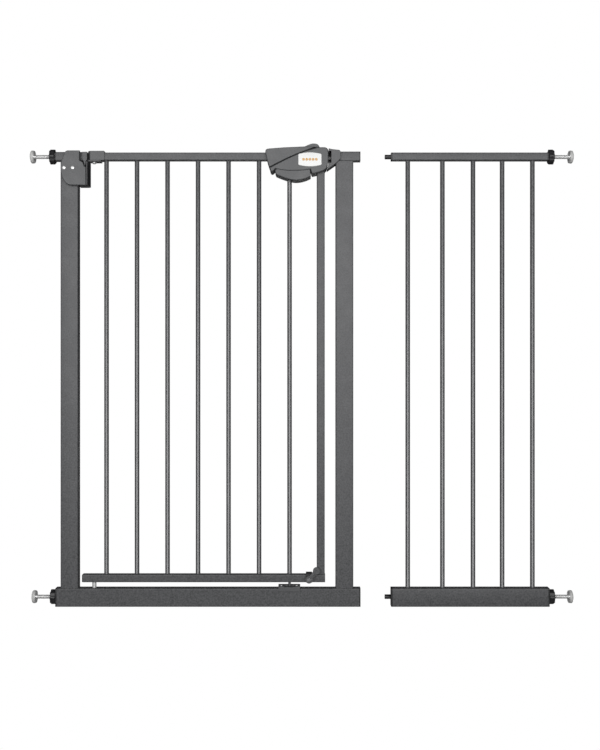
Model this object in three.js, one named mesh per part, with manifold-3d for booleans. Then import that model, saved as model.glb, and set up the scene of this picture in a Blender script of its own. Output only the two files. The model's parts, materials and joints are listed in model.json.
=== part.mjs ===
// Pressure-fit safety gate with a walk-through door, and its plug-in extension panel.
// Millimetres, +Z up, front towards -Y, floor at z = 0, X = 0 halfway between the outermost wall pads.
import * as THREE from "three";
import { mergeVertices } from "three/addons/utils/BufferGeometryUtils.js";
import Module from "manifold-3d";

// Overall sizes
const GATE_HEIGHT = 1030; // floor to the top of the door's and the panel's top rails
const FRAME_WIDTH = 691.1; // end to end of the frame's bottom rail
const PANEL_WIDTH = 358.5; // end to end of the panel's bottom rail
const PANEL_GAP = 69.7; // frame end to panel end, panel not yet plugged in
const TOP_REACH = 56.4; // top tube end to wall pad face
const BOTTOM_REACH = 54.4; // bottom tube end to wall pad face
const STUB_OVERHANG = 1.8; // top left stub beyond the bottom rail's end
const PANEL_TOP_SHORT = 1.1; // panel top rail short of its bottom rail, right end

// Tube stock
const WALL = 1.2;
const TUBE_CORNER = 2.5;
const RAIL_HEIGHT = 42;
const FRAME_DEPTH = 25;
const UPRIGHT_WIDTH = 40;
const DOOR_TUBE = 18;
const LEFT_STUB_HEIGHT = 20;
const RIGHT_STUB_HEIGHT = 22;
const STUB_DEPTH = 20;
const ROD_DIAMETER = 10.5;
const ROD_WALL = 1;

// Clearances
const WELD_GAP = 0.2; // between butted pieces
const FIT = 0.3; // per side, a piece inside a tube or a moulding
const RUN = 0.35; // per side, a shaft that turns or slides

// Where the frame's pieces stand
const LEFT_UPRIGHT_INSET = 11.8;
const RIGHT_UPRIGHT_INSET = 16.3;
const DOOR_FLOOR_GAP = 13; // frame rail to door bottom rail
const HINGE_OFFSET = 34.5; // left upright's inner face to the hinge axis

// Door
const DOOR_ROD_COUNT = 7;
const FIRST_ROD_OFFSET = 27.7; // hinge axis to the first rod
const LAST_ROD_TO_STILE = 70.85;
const STILE_OFFSET = 33.6; // stile centre to the right upright's inner face
const DOOR_RAIL_LEFT = 24.4; // bottom rail beyond the hinge axis
const LIFT = 10;

// Handle and latch
const HANDLE_DEPTH = 46;
const HANDLE_WALL = 2.5;
const BOLT_STROKE = 14;
const BOLT_HEIGHT = 7.6;
const TRIGGER_STROKE = 4;

// Wall fixings
const SPINDLE_DIAMETER = 9.2;
const SPINDLE_INSIDE = 40;
const PAD_DIAMETER = 29;
const NUT_DIAMETER = 34;
const NUT_LENGTH = 12;
const NUT_LOBES = 8;
const LOBE_DEPTH = 1.1;
const PLUG_FLANGE = 2.5;
const PLUG_INSERT = 13;
const PIN_REACH = 14; // panel pins beyond the panel's end

// Panel rods, as fractions of the panel's width
const PANEL_RODS = [0.107, 0.327, 0.521, 0.706, 0.898];

// Derived positions
const TOTAL_WIDTH =
  TOP_REACH + STUB_OVERHANG + FRAME_WIDTH + PANEL_GAP + PANEL_WIDTH - PANEL_TOP_SHORT + TOP_REACH;
const FRAME_LEFT = -TOTAL_WIDTH / 2 + TOP_REACH + STUB_OVERHANG;
const FRAME_RIGHT = FRAME_LEFT + FRAME_WIDTH;
const PANEL_LEFT = FRAME_RIGHT + PANEL_GAP;
const PANEL_RIGHT = PANEL_LEFT + PANEL_WIDTH;
const TOP_AXIS = GATE_HEIGHT - DOOR_TUBE / 2;
const BOTTOM_AXIS = RAIL_HEIGHT / 2;
const LEFT_INNER = FRAME_LEFT + LEFT_UPRIGHT_INSET + UPRIGHT_WIDTH;
const RIGHT_INNER = FRAME_RIGHT - RIGHT_UPRIGHT_INSET - UPRIGHT_WIDTH;
const HINGE_X = LEFT_INNER + HINGE_OFFSET;
const STILE_X = RIGHT_INNER - STILE_OFFSET;
const DOOR_BOTTOM = RAIL_HEIGHT + DOOR_FLOOR_GAP;
const DOOR_RAIL_TOP = DOOR_BOTTOM + DOOR_TUBE;
const DOOR_TOP_UNDER = GATE_HEIGHT - DOOR_TUBE;
const FIRST_ROD = HINGE_X + FIRST_ROD_OFFSET;
const LAST_ROD = STILE_X - LAST_ROD_TO_STILE;
const HALF_HANDLE = HANDLE_DEPTH / 2;
const HALF_FRAME = FRAME_DEPTH / 2;
const HALF_DOOR = DOOR_TUBE / 2;
const ROD_RADIUS = ROD_DIAMETER / 2;
const SPINDLE_RADIUS = SPINDLE_DIAMETER / 2;

// Rounded ends of mouldings
const ROUND_STEPS = 3;
const ROUND_INSET = 0.8;
const COIL_STEPS = 9; // points on each turn of a spring
const PAST = 1; // how far a cutting tool runs past the face that it opens

// Materials
const PAINT = { color: 0x424347, roughness: 0.6, metalness: 0.4 };
const PLASTIC = { color: 0x3a3b3e, roughness: 0.5, metalness: 0 };
const DARK_PLASTIC = { color: 0x1d1d1f, roughness: 0.55, metalness: 0 };
const ZINC = { color: 0xc9cbcd, roughness: 0.28, metalness: 1 };

const wasm = await Module();
wasm.setup();
const { CrossSection, Manifold, Mesh: SolidMesh } = wasm;

// ---- Solid helpers ----

function toSolid(geometry) {
  const bare = geometry.clone();
  bare.deleteAttribute("normal");
  bare.deleteAttribute("uv");
  bare.clearGroups();
  const welded = mergeVertices(bare, 1e-4);
  const mesh = new SolidMesh({
    numProp: 3,
    vertProperties: new Float32Array(welded.attributes.position.array),
    triVerts: new Uint32Array(welded.index.array),
  });
  return new Manifold(mesh);
}

function toGeometry(solid) {
  const mesh = solid.getMesh();
  const geometry = new THREE.BufferGeometry();
  geometry.setAttribute("position", new THREE.BufferAttribute(new Float32Array(mesh.vertProperties), 3));
  geometry.setIndex(new THREE.BufferAttribute(new Uint32Array(mesh.triVerts), 1));
  return geometry;
}

function cut(base, ...tools) {
  return toGeometry(tools.reduce((solid, tool) => solid.subtract(toSolid(tool)), toSolid(base)));
}

function join(base, ...others) {
  return toGeometry(others.reduce((solid, other) => solid.add(toSolid(other)), toSolid(base)));
}

// ---- Shape helpers ----

function outline(points) {
  return new THREE.Shape(points.map(([x, y]) => new THREE.Vector2(x, y)));
}

function roundedRectangle(width, height, radius, x = 0, y = 0) {
  const shape = new THREE.Shape();
  const right = x + width / 2 - radius;
  const left = x - width / 2 + radius;
  const top = y + height / 2 - radius;
  const bottom = y - height / 2 + radius;
  shape.absarc(right, bottom, radius, -Math.PI / 2, 0);
  shape.absarc(right, top, radius, 0, Math.PI / 2);
  shape.absarc(left, top, radius, Math.PI / 2, Math.PI);
  shape.absarc(left, bottom, radius, Math.PI, Math.PI * 1.5);
  shape.closePath();
  return shape;
}

function extrude(shape, length, bevel, steps) {
  if (bevel > 0) {
    return bevelled(shape, length, bevel, steps);
  }
  return new THREE.ExtrudeGeometry(shape, { depth: length, bevelEnabled: false, curveSegments: steps });
}

function cornersOf(shape, steps) {
  const points = shape.getPoints(steps);
  return points.filter((point, i) => point.distanceTo(points[(i + 1) % points.length]) > 1e-3);
}

// Moves each side of a closed counterclockwise outline inwards by a distance.
function inset(points, distance) {
  const count = points.length;
  return points.map((point, i) => {
    const before = points[(i + count - 1) % count];
    const after = points[(i + 1) % count];
    const a = new THREE.Vector2().subVectors(point, before).normalize();
    const b = new THREE.Vector2().subVectors(after, point).normalize();
    const normal = new THREE.Vector2(-a.y - b.y, a.x + b.x).normalize();
    const stretch = Math.min(1 / Math.max(normal.x * -a.y + normal.y * a.x, 0.2), 2);
    return point.clone().addScaledVector(normal, distance * stretch);
  });
}

// How far along and how far inwards each layer of a rounded end lies.
function roundedEnd(bevel) {
  const layers = [];
  for (let i = 0; i <= ROUND_STEPS; i += 1) {
    const angle = ((i / ROUND_STEPS) * Math.PI) / 2;
    layers.push([bevel * (1 - Math.cos(angle)), bevel * ROUND_INSET * (1 - Math.sin(angle))]);
  }
  return layers;
}

// An extrusion with rounded ends: each layer is the outline moved inwards.
function bevelled(shape, length, bevel, steps) {
  const points = cornersOf(shape, steps);
  const count = points.length;
  const faces = THREE.ShapeUtils.triangulateShape(points, []);
  const start = roundedEnd(bevel);
  const end = start.map(([z, inward]) => [length - z, inward]).reverse();
  const layers = [...start, ...end];
  const positions = layers.flatMap(([z, inward]) => inset(points, inward).flatMap((p) => [p.x, p.y, z]));
  const index = faces.flatMap(([a, b, c]) => [c, b, a]);
  for (let layer = 0; layer < layers.length - 1; layer += 1) {
    const low = layer * count;
    for (let i = 0; i < count; i += 1) {
      const next = (i + 1) % count;
      index.push(low + i, low + next, low + count + next, low + i, low + count + next, low + count + i);
    }
  }
  const top = (layers.length - 1) * count;
  index.push(...faces.flatMap(([a, b, c]) => [top + a, top + b, top + c]));
  const geometry = new THREE.BufferGeometry();
  geometry.setAttribute("position", new THREE.BufferAttribute(new Float32Array(positions), 3));
  geometry.setIndex(index);
  return geometry;
}

// The shape's x and y become Y and Z.
function alongX(shape, from, to, bevel = 0, steps = 2) {
  const turn = new THREE.Matrix4().makeBasis(
    new THREE.Vector3(0, 1, 0),
    new THREE.Vector3(0, 0, 1),
    new THREE.Vector3(1, 0, 0),
  );
  return extrude(shape, to - from, bevel, steps).applyMatrix4(turn).translate(from, 0, 0);
}

// The shape's x and y become X and Z.
function alongY(shape, from, to, bevel = 0, steps = 5) {
  return extrude(shape, to - from, bevel, steps).rotateX(Math.PI / 2).translate(0, to, 0);
}

function alongZ(shape, from, to, bevel = 0, steps = 2) {
  return extrude(shape, to - from, bevel, steps).translate(0, 0, from);
}

function box(x0, x1, y0, y1, z0, z1) {
  const geometry = new THREE.BoxGeometry(x1 - x0, y1 - y0, z1 - z0);
  return geometry.translate((x0 + x1) / 2, (y0 + y1) / 2, (z0 + z1) / 2);
}

function rodX(radius, from, to, z, segments = 16) {
  const rod = new THREE.CylinderGeometry(radius, radius, to - from, segments);
  return rod.rotateZ(Math.PI / 2).translate((from + to) / 2, 0, z);
}

function rodY(radius, from, to, x, z, segments = 16) {
  const rod = new THREE.CylinderGeometry(radius, radius, to - from, segments);
  return rod.translate(x, (from + to) / 2, z);
}

function rodZ(radius, from, to, x, segments = 16) {
  const rod = new THREE.CylinderGeometry(radius, radius, to - from, segments);
  return rod.rotateX(Math.PI / 2).translate(x, 0, (from + to) / 2);
}

function tubeSection(width, height, x, y) {
  const section = roundedRectangle(width, height, TUBE_CORNER, x, y);
  section.holes.push(
    roundedRectangle(width - 2 * WALL, height - 2 * WALL, TUBE_CORNER - WALL, x, y),
  );
  return section;
}

function tubeX(depth, height, z, from, to) {
  return alongX(tubeSection(depth, height, 0, z), from, to);
}

function tubeZ(width, depth, x, from, to) {
  return alongZ(tubeSection(width, depth, x, 0), from, to);
}

function roundTubeZ(x, from, to) {
  const section = new THREE.Shape();
  section.absarc(x, 0, ROD_RADIUS, 0, Math.PI * 2);
  const hole = new THREE.Path();
  hole.absarc(x, 0, ROD_RADIUS - ROD_WALL, 0, Math.PI * 2);
  section.holes.push(hole);
  return alongZ(section, from, to, 0, 8);
}

function coil(radius, wire, turns, length) {
  const steps = Math.round(turns * COIL_STEPS);
  const points = [];
  for (let i = 0; i <= steps; i += 1) {
    const angle = (i / steps) * turns * Math.PI * 2;
    points.push(new THREE.Vector3(radius * Math.cos(angle), radius * Math.sin(angle), (length * i) / steps));
  }
  const section = new THREE.Shape();
  section.absarc(0, 0, wire / 2, 0, Math.PI * 2);
  return new THREE.ExtrudeGeometry(section, {
    extrudePath: new THREE.CatmullRomCurve3(points),
    steps: steps,
    curveSegments: 3,
    bevelEnabled: false,
  });
}

const group = new THREE.Group();

function add(name, geometry, material) {
  const bare = geometry.index ? geometry.toNonIndexed() : geometry;
  bare.computeVertexNormals();
  const mesh = new THREE.Mesh(bare, new THREE.MeshStandardMaterial(material));
  mesh.name = name;
  group.add(mesh);
}

// ---- Frame ----

const PIN_HOLE = 7;
const CATCH_PIN_RADIUS = 3;

function frameBottomRail() {
  const rail = tubeX(
    FRAME_DEPTH,
    RAIL_HEIGHT,
    BOTTOM_AXIS,
    FRAME_LEFT + PLUG_FLANGE + WELD_GAP,
    FRAME_RIGHT - PLUG_FLANGE - WELD_GAP,
  );
  return cut(rail, rodZ(PIN_HOLE, RAIL_HEIGHT - 2 * WALL, RAIL_HEIGHT + PAST, HINGE_X));
}

function frameUpright(innerX, side, stubHeight) {
  const x = innerX + (side * UPRIGHT_WIDTH) / 2;
  const top = TOP_AXIS - stubHeight / 2 - WELD_GAP;
  return tubeZ(UPRIGHT_WIDTH, FRAME_DEPTH, x, RAIL_HEIGHT + WELD_GAP, top);
}

const UPSTAND_LEFT = LEFT_INNER + 11.5;
const UPSTAND_RIGHT = LEFT_INNER + 19.2;

function topLeftStub() {
  const from = FRAME_LEFT - STUB_OVERHANG + PLUG_FLANGE + WELD_GAP;
  return tubeX(STUB_DEPTH, LEFT_STUB_HEIGHT, TOP_AXIS, from, UPSTAND_LEFT - WELD_GAP);
}

function topRightStub() {
  return tubeX(
    STUB_DEPTH,
    RIGHT_STUB_HEIGHT,
    TOP_AXIS,
    RIGHT_INNER,
    FRAME_RIGHT - PLUG_FLANGE - WELD_GAP,
  );
}

const PLUG_OVERLAP = 1.5; // how deep the insert is rooted in the flange

// A moulded plug: a flange over the tube's end and an insert inside it, bored through.
function endPlug(endX, outward, depth, height, z, boreRadius) {
  const face = roundedRectangle(depth, height, TUBE_CORNER, 0, z);
  const insertDepth = depth - 2 * WALL - 2 * FIT;
  const insertHeight = height - 2 * WALL - 2 * FIT;
  const insert = roundedRectangle(insertDepth, insertHeight, TUBE_CORNER - WALL, 0, z);
  const flangeFrom = Math.min(endX, endX - outward * PLUG_FLANGE);
  const insertEnd = endX - outward * (PLUG_FLANGE + PLUG_INSERT);
  const root = endX - outward * (PLUG_FLANGE - PLUG_OVERLAP);
  const insertFrom = Math.min(root, insertEnd);
  const insertTo = Math.max(root, insertEnd);
  const solid = join(
    alongX(face, flangeFrom, flangeFrom + PLUG_FLANGE),
    alongX(insert, insertFrom, insertTo),
  );
  return cut(solid, rodX(boreRadius, insertFrom - PLUG_FLANGE, insertTo + PLUG_FLANGE, z, 20));
}

// ---- Hinge ----

const HINGE_PIN_RADIUS = 4;
const COLLAR_TOP = GATE_HEIGHT + 3;
const COLLAR_HALF = 12;
const COLLAR_RADIUS = 14;
const COLLAR_RIGHT = HINGE_X + 24.5;
const COLLAR_ROOF = 2;
const RAIL_START = HINGE_X + 11; // where the door's top rail begins
const CHAMBER_RADIUS = 8.5;
const PLATE_THICKNESS = 2.5;
const PLATE_DROP = 0.6; // hinge plate below the door's top rail
const PLATE_TOP = DOOR_TOP_UNDER - PLATE_DROP;
const PLATE_UNDER = PLATE_TOP - PLATE_THICKNESS;
const HOUSING_BOTTOM = TOP_AXIS - 67.3;
const COVER_BACK = -HALF_FRAME - FIT;
const COVER_RIGHT = LEFT_INNER + 19.3;
const CHAMBER_FLOOR = PLATE_TOP + FIT + 2;
const RIVET_SHANK = 1.9;
const RIVET_HEAD = 4.2;
const HOUSING_FRONT = -18.5;
const HOUSING_BACK = 18;
const HOUSING_CORNER = 8;
const HOUSING_TO_HINGE = 10;
const UPSTAND_FRONT = -17;
const UPSTAND_BACK = 14;
const UPSTAND_RISE = 7.5; // front of the upstand above the top axis
const UPSTAND_REAR_RISE = 12;
const UPSTAND_FRONT_RIGHT = LEFT_INNER + 22;

function hingeCover() {
  const shape = new THREE.Shape();
  const at = (x, z) => [LEFT_INNER + x, TOP_AXIS + z];
  shape.moveTo(...at(4.9, 10.7));
  shape.lineTo(...at(-20.5, 10.7));
  shape.quadraticCurveTo(...at(-27, 10.7), ...at(-28.6, 5));
  shape.bezierCurveTo(...at(-33.5, -10), ...at(-37.6, -16.5), ...at(-37.6, -28));
  shape.bezierCurveTo(...at(-37.6, -48), ...at(-28.5, -67.3), ...at(-14, -67.3));
  shape.lineTo(...at(19.3, -67.3));
  shape.lineTo(...at(19, -27));
  shape.lineTo(...at(15.1, -25));
  shape.bezierCurveTo(...at(14.5, -18), ...at(10.5, -12.8), ...at(4.9, -12.3));
  shape.closePath();
  const plate = alongY(shape, -HALF_HANDLE, COVER_BACK, 1.6);
  const hole = ([x, z]) => rodY(RIVET_SHANK + 0.2, -HALF_HANDLE - PAST, COVER_BACK + PAST, x, z, 16);
  return cut(plate, ...rivetAxes().map(hole));
}

function rivetAxes() {
  const z = TOP_AXIS - 28.5;
  return [
    [LEFT_INNER - 30, z],
    [LEFT_INNER - 10.6, z],
  ];
}

function hingeRivet([x, z]) {
  const front = -HALF_HANDLE;
  const profile = [
    [0, 0],
    [RIVET_HEAD, 0],
    [RIVET_HEAD - 0.3, 0.7],
    [RIVET_HEAD - 1.6, 1.3],
    [0, 1.5],
  ];
  const points = profile.map(([r, h]) => new THREE.Vector2(r, h));
  const head = new THREE.LatheGeometry(points, 20).rotateX(Math.PI).translate(x, front - 0.02, z);
  return join(head, rodY(RIVET_SHANK, front - 0.5, COVER_BACK - WELD_GAP, x, z, 16));
}

function hingeHousing() {
  const left = LEFT_INNER + WELD_GAP;
  const right = HINGE_X - HOUSING_TO_HINGE;
  const step = COVER_RIGHT + FIT;
  const shape = new THREE.Shape();
  shape.moveTo(left, COVER_BACK + FIT);
  shape.lineTo(step, COVER_BACK + FIT);
  shape.lineTo(step, HOUSING_FRONT);
  shape.quadraticCurveTo(right, HOUSING_FRONT, right, -12);
  shape.lineTo(right, HOUSING_BACK - HOUSING_CORNER);
  shape.quadraticCurveTo(right, HOUSING_BACK, right - HOUSING_CORNER, HOUSING_BACK);
  shape.lineTo(left, HOUSING_BACK);
  shape.closePath();
  return alongZ(shape, HOUSING_BOTTOM, PLATE_UNDER - WELD_GAP, 1.2, 4);
}

// The steel plate that carries the top hinge pin, with the upstand that ties it to the stub.
function hingeBracket() {
  const plate = new THREE.Shape();
  plate.moveTo(UPSTAND_LEFT, -COLLAR_HALF);
  plate.lineTo(HINGE_X + 16, -COLLAR_HALF);
  plate.quadraticCurveTo(HINGE_X + 20, 0, HINGE_X + 16, COLLAR_HALF);
  plate.lineTo(UPSTAND_LEFT, COLLAR_HALF);
  plate.closePath();
  const solid = join(
    alongZ(plate, PLATE_UNDER, PLATE_TOP),
    alongX(upstandSide(), UPSTAND_LEFT, UPSTAND_RIGHT),
    alongY(upstandFront(), -HALF_HANDLE + 1, UPSTAND_FRONT + 1),
  );
  return cut(solid, rodZ(HINGE_PIN_RADIUS + RUN, PLATE_UNDER - PAST, PLATE_TOP + PAST, HINGE_X));
}

function upstandSide() {
  return outline([
    [UPSTAND_FRONT, PLATE_UNDER],
    [UPSTAND_BACK, PLATE_UNDER],
    [UPSTAND_BACK, TOP_AXIS + UPSTAND_REAR_RISE],
    [UPSTAND_FRONT, TOP_AXIS + UPSTAND_RISE],
  ]);
}

function upstandFront() {
  const at = (x, z) => [LEFT_INNER + x, TOP_AXIS + z];
  const shape = new THREE.Shape();
  shape.moveTo(...at(11.5, UPSTAND_RISE));
  shape.lineTo(...at(11.5, -9.5));
  shape.quadraticCurveTo(...at(16.5, -15), ...at(16.6, -24.2));
  shape.lineTo(...at(17.6, -24.2));
  shape.quadraticCurveTo(...at(19.2, -15), ...at(19.2, -12));
  shape.lineTo(UPSTAND_FRONT_RIGHT, TOP_AXIS - 10.5);
  shape.lineTo(UPSTAND_FRONT_RIGHT, TOP_AXIS + UPSTAND_RISE);
  shape.closePath();
  return shape;
}

function topHingePin() {
  const profile = [
    [0, -3.8],
    [3.2, -3.5],
    [4.8, -2],
    [4.8, 0],
    [HINGE_PIN_RADIUS, 0],
    [HINGE_PIN_RADIUS, 21],
    [HINGE_PIN_RADIUS - 0.8, 21.8],
    [0, 21.8],
  ];
  const points = profile.map(([r, h]) => new THREE.Vector2(r, h));
  const pin = new THREE.LatheGeometry(points, 20).rotateX(Math.PI / 2);
  return pin.translate(HINGE_X, 0, PLATE_UNDER - WELD_GAP);
}

const BOTTOM_PIN_RADIUS = 4.75;

function bottomHingePin() {
  return rodZ(BOTTOM_PIN_RADIUS, RAIL_HEIGHT - 10, DOOR_BOTTOM + 14.5, HINGE_X);
}

function pivotBush() {
  const outer = rodZ(PIN_HOLE - 0.15, RAIL_HEIGHT - 9, RAIL_HEIGHT + 0.4, HINGE_X);
  const bore = rodZ(BOTTOM_PIN_RADIUS + RUN, RAIL_HEIGHT - 12, RAIL_HEIGHT + 2, HINGE_X);
  return cut(outer, bore);
}

function closingSpring() {
  const wire = 1.1;
  return coil(6.3, wire, 3.2, 4.6).translate(HINGE_X, 0, CHAMBER_FLOOR + LIFT + FIT + wire / 2);
}

// The moulded end of the door's top rail: it turns on the top pin and hides the closing spring.
function hingeCollar() {
  const shape = new THREE.Shape();
  const start = Math.asin(COLLAR_HALF / COLLAR_RADIUS);
  shape.moveTo(COLLAR_RIGHT, -COLLAR_HALF);
  shape.lineTo(COLLAR_RIGHT, COLLAR_HALF);
  shape.lineTo(HINGE_X, COLLAR_HALF);
  shape.absarc(HINGE_X, 0, COLLAR_RADIUS, Math.PI - start, Math.PI + start);
  shape.lineTo(HINGE_X, -COLLAR_HALF);
  shape.closePath();
  const under = PLATE_TOP + FIT;
  const collar = alongZ(shape, under, COLLAR_TOP, 1, 4);
  const socketLeft = RAIL_START - FIT - WELD_GAP;
  const half = HALF_DOOR + FIT;
  const roof = COLLAR_TOP - COLLAR_ROOF;
  return cut(
    collar,
    box(socketLeft, COLLAR_RIGHT + PAST, -half, half, under - PAST, GATE_HEIGHT + FIT),
    rodZ(HINGE_PIN_RADIUS + RUN, under - PAST, roof, HINGE_X),
    rodZ(CHAMBER_RADIUS, CHAMBER_FLOOR, roof, HINGE_X),
  );
}

// ---- Catch and keeper on the frame ----

const CATCH_LEFT = LAST_ROD - 25.3;
const CATCH_RIGHT = LAST_ROD + 24.2;
const CATCH_WALL = 2.7;
const CATCH_RISE = 5;
const CATCH_SKIRT = 6;
const CATCH_POCKET = 11.5;

function bottomCatch() {
  const half = HALF_FRAME + FIT + CATCH_WALL;
  const top = RAIL_HEIGHT + CATCH_RISE;
  const skirt = RAIL_HEIGHT - CATCH_SKIRT;
  const solid = box(CATCH_LEFT, CATCH_RIGHT, -half, half, skirt, top);
  const rail = box(
    CATCH_LEFT - PAST,
    CATCH_RIGHT + PAST,
    -HALF_FRAME - FIT,
    HALF_FRAME + FIT,
    skirt - PAST,
    RAIL_HEIGHT + FIT,
  );
  const left = LAST_ROD - CATCH_POCKET;
  const right = LAST_ROD + CATCH_POCKET;
  const pocket = box(left, right, -8, 8, RAIL_HEIGHT + 1.8, top + PAST);
  const lip = box(left, right, -half - PAST, 0, RAIL_HEIGHT + 3.4, top + PAST);
  return cut(solid, rail, pocket, lip);
}

const KEEPER_HALF = 17;
const KEEPER_WALL = 3;
const MOUTH_TOP = 10.7; // the keeper's mouth, above and below the top axis
const MOUTH_BOTTOM = -16.3;
const MOUTH_DEPTH = 16;

// The C-shaped striker that the bolt shoots into; it sleeves over the stub and the upright's corner.
function latchKeeper() {
  const x = (value) => RIGHT_INNER + value;
  const z = (value) => TOP_AXIS + value;
  const shape = outline([
    [x(-15.7), z(16.6)],
    [x(-15.7), z(10)],
    [x(-16.2), z(-18.3)],
    [x(-19.9), z(-31.6)],
    [x(0.2), z(-17.6)],
    [x(11.1), z(-6.8)],
    [x(11.1), z(9.2)],
    [x(8.8), z(13)],
    [x(-8.1), z(14.8)],
  ]);
  const solid = alongY(shape, -KEEPER_HALF, KEEPER_HALF, 1.2);
  const room = KEEPER_HALF - KEEPER_WALL;
  const stub = STUB_DEPTH / 2 + FIT;
  const post = HALF_FRAME + FIT;
  const stubTop = z(RIGHT_STUB_HEIGHT / 2 + FIT);
  return cut(
    solid,
    box(x(-17), x(-17 + MOUTH_DEPTH), -room, room, z(MOUTH_BOTTOM), z(MOUTH_TOP)),
    box(x(-17), x(-9.7), -KEEPER_HALF - PAST, room, z(MOUTH_BOTTOM), z(MOUTH_TOP)),
    box(x(-0.4), x(13), -stub, stub, z(-RIGHT_STUB_HEIGHT / 2 - FIT), stubTop),
    box(x(-0.4), x(13), -post, post, z(-40), z(-RIGHT_STUB_HEIGHT / 2 + FIT)),
  );
}

// ---- Door ----

const DOOR_RIGHT = STILE_X + HALF_DOOR + 0.2;
const STEM_LEFT = RIGHT_INNER - 58.5;
const STEM_RIGHT = STEM_LEFT + 8;
const STEM_HALF = 3;

function stemSlot(z0, z1) {
  const half = STEM_HALF + FIT;
  return box(STEM_LEFT - BOLT_STROKE - FIT, STEM_RIGHT + FIT, -half, half, z0, z1);
}

function doorTopRail() {
  const rail = tubeX(DOOR_TUBE, DOOR_TUBE, TOP_AXIS, RAIL_START, DOOR_RIGHT);
  return cut(rail, stemSlot(TOP_AXIS, GATE_HEIGHT + 1));
}

function doorBottomRail() {
  const z = DOOR_BOTTOM + HALF_DOOR;
  const rail = tubeX(DOOR_TUBE, DOOR_TUBE, z, HINGE_X - DOOR_RAIL_LEFT, STILE_X + HALF_DOOR + 0.9);
  return cut(
    rail,
    rodZ(BOTTOM_PIN_RADIUS + RUN, DOOR_BOTTOM - 1, DOOR_BOTTOM + WALL + 1, HINGE_X),
    rodZ(CATCH_PIN_RADIUS + FIT, DOOR_BOTTOM - 1, DOOR_RAIL_TOP + 1, LAST_ROD),
  );
}

function doorStile() {
  return tubeZ(DOOR_TUBE, DOOR_TUBE, STILE_X, DOOR_RAIL_TOP + WELD_GAP, DOOR_TOP_UNDER - WELD_GAP);
}

const PIN_PLUG = 8; // the catch pin's root inside the last rod
const PIN_REST = 3; // the catch pin's tip above the frame's rail

function doorRod(index) {
  const pitch = (LAST_ROD - FIRST_ROD) / (DOOR_ROD_COUNT - 1);
  const from = DOOR_RAIL_TOP + WELD_GAP;
  const rod = roundTubeZ(FIRST_ROD + index * pitch, from, DOOR_TOP_UNDER - WELD_GAP);
  if (index < DOOR_ROD_COUNT - 1) {
    return rod;
  }
  const plug = rodZ(ROD_RADIUS - ROD_WALL / 2, from, from + PIN_PLUG, LAST_ROD);
  const pin = rodZ(CATCH_PIN_RADIUS, RAIL_HEIGHT + PIN_REST, from + 2, LAST_ROD);
  return join(rod, plug, pin);
}

// ---- Handle ----

const hx = (value) => RIGHT_INNER + value;
const hz = (value) => TOP_AXIS + value;
const WING_INSET = 1.6; // wing's face behind the body's face
const SCREW_RECESS = 1.5;
const SCREW_RECESS_RADIUS = 3.8;
const BOLT_HALF = 6;
const BOLT_UNDER = DOOR_TOP_UNDER + WALL + 0.4;
const BOLT_LEFT = RIGHT_INNER - 64.5;
const BOLT_RIGHT = RIGHT_INNER - 2.9;

function wingShape() {
  const shape = new THREE.Shape();
  shape.moveTo(hx(-149.8), hz(-26.5));
  shape.bezierCurveTo(hx(-125), hz(-14), hx(-85), hz(8), hx(-46), hz(17));
  shape.lineTo(hx(-46), hz(18.6));
  shape.quadraticCurveTo(hx(-60), hz(20), hx(-72), hz(20));
  shape.lineTo(hx(-117.9), hz(18));
  shape.lineTo(hx(-152), hz(15.3));
  shape.quadraticCurveTo(hx(-159.5), hz(14.5), hx(-158.9), hz(7.6));
  shape.lineTo(hx(-154), hz(-14));
  shape.closePath();
  return shape;
}

function bodyShape() {
  const shape = new THREE.Shape();
  shape.moveTo(hx(-149.2), hz(-28));
  shape.quadraticCurveTo(hx(-147.6), hz(-37), hx(-144), hz(-37));
  shape.quadraticCurveTo(hx(-140), hz(-37), hx(-136.6), hz(-30.5));
  shape.bezierCurveTo(hx(-115), hz(-36.5), hx(-80), hz(-37), hx(-57.2), hz(-31.6));
  shape.lineTo(hx(-53.3), hz(-41.9));
  shape.bezierCurveTo(hx(-38), hz(-39.2), hx(-24), hz(-35.5), hx(-20.6), hz(-29));
  shape.quadraticCurveTo(hx(-16.6), hz(-19), hx(-16.6), hz(-8));
  shape.lineTo(hx(-16.6), hz(8));
  shape.quadraticCurveTo(hx(-16.6), hz(18.2), hx(-27.4), hz(18.2));
  shape.lineTo(hx(-45.3), hz(18));
  shape.lineTo(hx(-45.3), hz(16.4));
  shape.bezierCurveTo(hx(-84.5), hz(7), hx(-124.5), hz(-15), hx(-149.2), hz(-28));
  shape.closePath();
  return shape;
}

function railTool() {
  const half = HALF_DOOR + FIT;
  return box(hx(-165), DOOR_RIGHT + FIT, -half, half, TOP_AXIS - half, TOP_AXIS + half);
}

// The inside of a moulding with the given outline, one wall's thickness in.
function hollowOf(shape, half) {
  const contour = cornersOf(shape, 5).map((point) => [point.x, point.y]);
  const inner = new CrossSection([contour]).offset(-HANDLE_WALL, "Miter", 2);
  return toGeometry(inner.extrude(2 * half)).rotateX(Math.PI / 2).translate(0, half, 0);
}

function handleWing() {
  const half = HALF_HANDLE - WING_INSET;
  const shape = wingShape();
  const solid = alongY(shape, -half, half, 2.4);
  return cut(solid, hollowOf(shape, half - HANDLE_WALL), railTool(), stemSlot(TOP_AXIS, TOP_AXIS + 30));
}

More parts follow.
